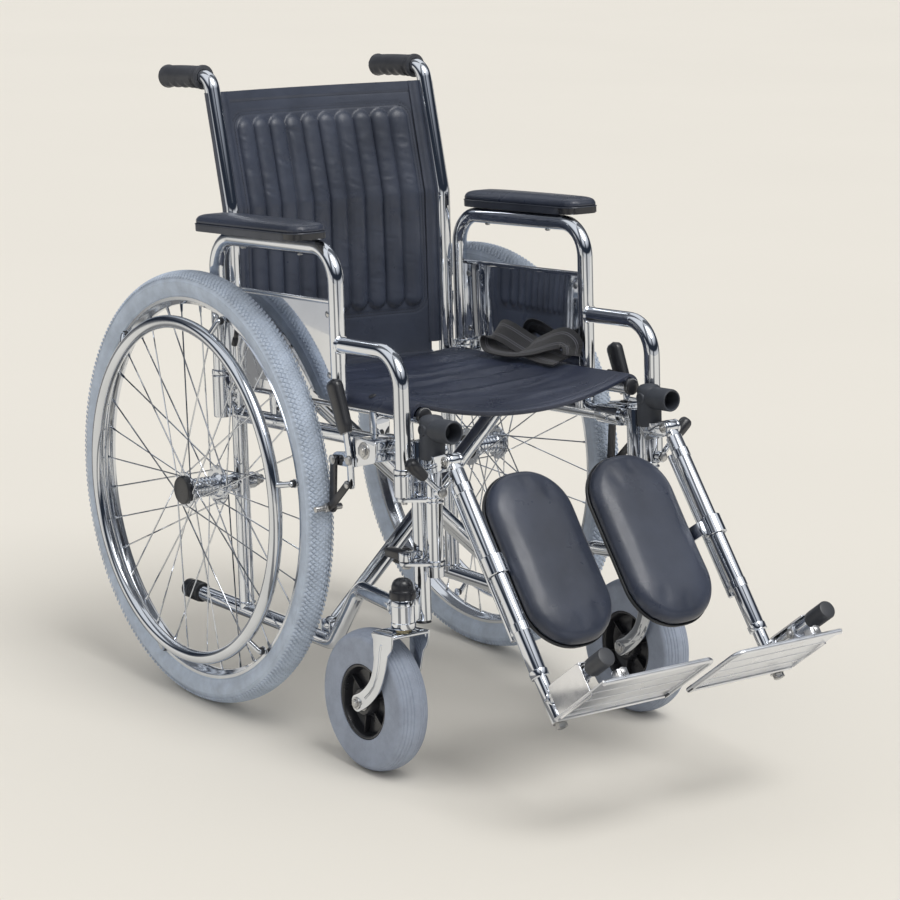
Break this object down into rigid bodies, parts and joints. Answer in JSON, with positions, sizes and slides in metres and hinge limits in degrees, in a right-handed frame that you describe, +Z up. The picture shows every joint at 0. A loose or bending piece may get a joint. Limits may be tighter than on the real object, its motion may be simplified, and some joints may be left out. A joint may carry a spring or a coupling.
{
  "type": "wheelchair",
  "caption": "Folding self-propelled wheelchair with sling seat and back, lift-out desk armrests, push-to-lock brakes and elevating leg rests with calf pads.",
  "frame": {"origin": "middle of the chair's bounding box, on the floor", "axes": "+X to the sitter's left, -Y the way the chair faces, +Z up"},
  "size_m": [0.575, 1.1316, 0.8821],
  "materials": {
    "chrome": "bright chrome plate",
    "zinc": "zinc plate",
    "aluminium": "polished",
    "vinyl": "satin vinyl",
    "black_plastic": "moulded",
    "dark_grey_plastic": "moulded, matt",
    "black_rubber": "moulded",
    "grey_rubber": "non-marking grey",
    "webbing": "woven belt"
  },
  "bodies": {
    "side_frame_right": {"side_frame_right": "chrome", "push_grip_right": "black_rubber", "rear_tip_cap_right": "black_plastic", "axle_right": "zinc", "caster_cap_right": "black_plastic", "brake_bracket_right": "zinc", "back_sling": "vinyl"},
    "side_frame_left": {"side_frame_left": "chrome", "push_grip_left": "black_rubber", "rear_tip_cap_left": "black_plastic", "axle_left": "zinc", "caster_cap_left": "black_plastic", "brake_bracket_left": "zinc"},
    "cross_brace_front": {"cross_brace_front": "chrome", "belt": "webbing"},
    "cross_brace_rear": {"cross_brace_rear": "chrome", "seat_sling": "vinyl"},
    "rear_wheel_left": {"rear_wheel_left": "chrome", "rear_tyre_left": "grey_rubber", "handrim_left": "chrome"},
    "caster_fork_left": {"caster_fork_left": "chrome"},
    "caster_wheel_left": {"caster_wheel_left": "black_plastic", "caster_tyre_left": "grey_rubber"},
    "armrest_left": {"armrest_left": "chrome", "skirt_guard_left": "aluminium", "arm_pad_left": "vinyl"},
    "brake_lever_left": {"brake_lever_left": "chrome", "brake_grip_left": "black_rubber"},
    "brake_shoe_left": {"brake_shoe_left": "zinc"},
    "leg_hanger_left": {"leg_hanger_left": "chrome", "knee_cover_left": "dark_grey_plastic"},
    "release_lever_left": {"release_lever_left": "chrome"},
    "leg_tube_left": {"leg_tube_left": "chrome"},
    "foot_tube_left": {"foot_tube_left": "chrome", "foot_cap_left": "black_rubber"},
    "footplate_left": {"footplate_left": "aluminium"},
    "calf_pad_left": {"calf_bracket_left": "chrome", "calf_pad_left": "vinyl"},
    "rear_wheel_right": {"rear_wheel_right": "chrome", "rear_tyre_right": "grey_rubber", "handrim_right": "chrome"},
    "caster_fork_right": {"caster_fork_right": "chrome"},
    "caster_wheel_right": {"caster_wheel_right": "black_plastic", "caster_tyre_right": "grey_rubber"},
    "armrest_right": {"armrest_right": "chrome", "skirt_guard_right": "aluminium", "arm_pad_right": "vinyl"},
    "brake_lever_right": {"brake_lever_right": "chrome", "brake_grip_right": "black_rubber"},
    "brake_shoe_right": {"brake_shoe_right": "zinc"},
    "leg_hanger_right": {"leg_hanger_right": "chrome", "knee_cover_right": "dark_grey_plastic"},
    "release_lever_right": {"release_lever_right": "chrome"},
    "leg_tube_right": {"leg_tube_right": "chrome"},
    "foot_tube_right": {"foot_tube_right": "chrome", "foot_cap_right": "black_rubber"},
    "footplate_right": {"footplate_right": "aluminium"},
    "calf_pad_right": {"calf_bracket_right": "chrome", "calf_pad_right": "vinyl"}
  },
  "joints": [
    {"name": "fold", "type": "hinge", "parent": "side_frame_right", "child": "cross_brace_front", "pos_m": [-0.17, 0.04697, 0.14464], "axis": [0, -0.9976, 0.0698], "range_deg": [0, 34], "deforming": ["seat_sling", "back_sling"]},
    {"name": "brace_scissor", "type": "hinge", "parent": "cross_brace_front", "child": "cross_brace_rear", "pos_m": [0, 0.07157, 0.2993], "axis": [0, -0.9976, 0.0698], "range_deg": [-68, 0]},
    {"name": "brace_foot", "type": "hinge", "parent": "cross_brace_rear", "child": "side_frame_left", "pos_m": [0.17, 0.0744, 0.14272], "axis": [0, -0.9976, 0.0698], "range_deg": [0, 34]},
    {"name": "wheel_spin_left", "type": "hinge", "parent": "side_frame_left", "child": "rear_wheel_left", "pos_m": [0.2455, 0.26243, 0.305], "axis": [1, 0, 0], "continuous": true},
    {"name": "caster_swivel_left", "type": "hinge", "parent": "side_frame_left", "child": "caster_fork_left", "pos_m": [0.224, -0.18879, 0.24583], "axis": [0, 0.0698, 0.9976], "continuous": true},
    {"name": "caster_spin_left", "type": "hinge", "parent": "caster_fork_left", "child": "caster_wheel_left", "pos_m": [0.224, -0.13016, 0.0952], "axis": [1, 0, 0], "continuous": true},
    {"name": "armrest_lift_left", "type": "slide", "parent": "side_frame_left", "child": "armrest_left", "axis": [0, 0.0698, 0.9976], "range_m": [0, 0.05]},
    {"name": "brake_left", "type": "hinge", "parent": "side_frame_left", "child": "brake_lever_left", "pos_m": [0.237, -0.08705, 0.41064], "axis": [-1, 0, 0], "range_deg": [0, 25]},
    {"name": "brake_link_left", "type": "hinge", "parent": "side_frame_left", "child": "brake_shoe_left", "pos_m": [0.237, -0.04935, 0.40499], "axis": [-1, 0, 0], "range_deg": [0, 9.5]},
    {"name": "leg_swing_left", "type": "hinge", "parent": "side_frame_left", "child": "leg_hanger_left", "pos_m": [0.21, -0.17113, 0.3694], "axis": [0, 0.0698, 0.9976], "range_deg": [0, 90]},
    {"name": "release_left", "type": "hinge", "parent": "leg_hanger_left", "child": "release_lever_left", "pos_m": [0.185, -0.21451, 0.38697], "axis": [0, 0.9976, -0.0698], "range_deg": [0, 20], "stiffness_Nm_per_rad": 0.5, "springref_deg": -5.73},
    {"name": "leg_raise_left", "type": "hinge", "parent": "leg_hanger_left", "child": "leg_tube_left", "pos_m": [0.182, -0.23392, 0.43193], "axis": [-1, 0, 0], "range_deg": [0, 50]},
    {"name": "foot_slide_left", "type": "slide", "parent": "leg_tube_left", "child": "foot_tube_left", "axis": [0, -0.6225, -0.7826], "range_m": [0, 0.06]},
    {"name": "footplate_flip_left", "type": "hinge", "parent": "foot_tube_left", "child": "footplate_left", "pos_m": [0.182, -0.44309, 0.16898], "axis": [0, 0.7826, -0.6225], "range_deg": [0, 90]},
    {"name": "calf_pad_swing_left", "type": "hinge", "parent": "leg_tube_left", "child": "calf_pad_left", "pos_m": [0.182, -0.3273, 0.31454], "axis": [0, 0.6225, 0.7826], "range_deg": [0, 110]},
    {"name": "wheel_spin_right", "type": "hinge", "parent": "side_frame_right", "child": "rear_wheel_right", "pos_m": [-0.2455, 0.26243, 0.305], "axis": [1, 0, 0], "continuous": true},
    {"name": "caster_swivel_right", "type": "hinge", "parent": "side_frame_right", "child": "caster_fork_right", "pos_m": [-0.224, -0.18879, 0.24583], "axis": [0, 0.0698, 0.9976], "continuous": true},
    {"name": "caster_spin_right", "type": "hinge", "parent": "caster_fork_right", "child": "caster_wheel_right", "pos_m": [-0.224, -0.13016, 0.0952], "axis": [1, 0, 0], "continuous": true},
    {"name": "armrest_lift_right", "type": "slide", "parent": "side_frame_right", "child": "armrest_right", "axis": [0, 0.0698, 0.9976], "range_m": [0, 0.05]},
    {"name": "brake_right", "type": "hinge", "parent": "side_frame_right", "child": "brake_lever_right", "pos_m": [-0.237, -0.08705, 0.41064], "axis": [-1, 0, 0], "range_deg": [0, 25]},
    {"name": "brake_link_right", "type": "hinge", "parent": "side_frame_right", "child": "brake_shoe_right", "pos_m": [-0.237, -0.04935, 0.40499], "axis": [-1, 0, 0], "range_deg": [0, 9.5]},
    {"name": "leg_swing_right", "type": "hinge", "parent": "side_frame_right", "child": "leg_hanger_right", "pos_m": [-0.21, -0.17113, 0.3694], "axis": [0, -0.0698, -0.9976], "range_deg": [0, 90]},
    {"name": "release_right", "type": "hinge", "parent": "leg_hanger_right", "child": "release_lever_right", "pos_m": [-0.185, -0.21451, 0.38697], "axis": [0, -0.9976, 0.0698], "range_deg": [0, 20], "stiffness_Nm_per_rad": 0.5, "springref_deg": -5.73},
    {"name": "leg_raise_right", "type": "hinge", "parent": "leg_hanger_right", "child": "leg_tube_right", "pos_m": [-0.182, -0.23392, 0.43193], "axis": [-1, 0, 0], "range_deg": [0, 50]},
    {"name": "foot_slide_right", "type": "slide", "parent": "leg_tube_right", "child": "foot_tube_right", "axis": [0, -0.6225, -0.7826], "range_m": [0, 0.06]},
    {"name": "footplate_flip_right", "type": "hinge", "parent": "foot_tube_right", "child": "footplate_right", "pos_m": [-0.182, -0.44309, 0.16898], "axis": [0, -0.7826, 0.6225], "range_deg": [0, 90]},
    {"name": "calf_pad_swing_right", "type": "hinge", "parent": "leg_tube_right", "child": "calf_pad_right", "pos_m": [-0.182, -0.3273, 0.31454], "axis": [0, -0.6225, -0.7826], "range_deg": [0, 110]}
  ],
  "couplings": [
    {"joint": "brace_scissor", "follows": "fold", "ratio": -2},
    {"joint": "brace_foot", "follows": "fold", "ratio": 1},
    {"joint": "brake_link_left", "follows": "brake_left", "ratio": 0.38},
    {"joint": "leg_swing_left", "follows": "fold", "ratio": 2.6471},
    {"joint": "brake_link_right", "follows": "brake_right", "ratio": 0.38},
    {"joint": "leg_swing_right", "follows": "fold", "ratio": 2.6471}
  ]
}
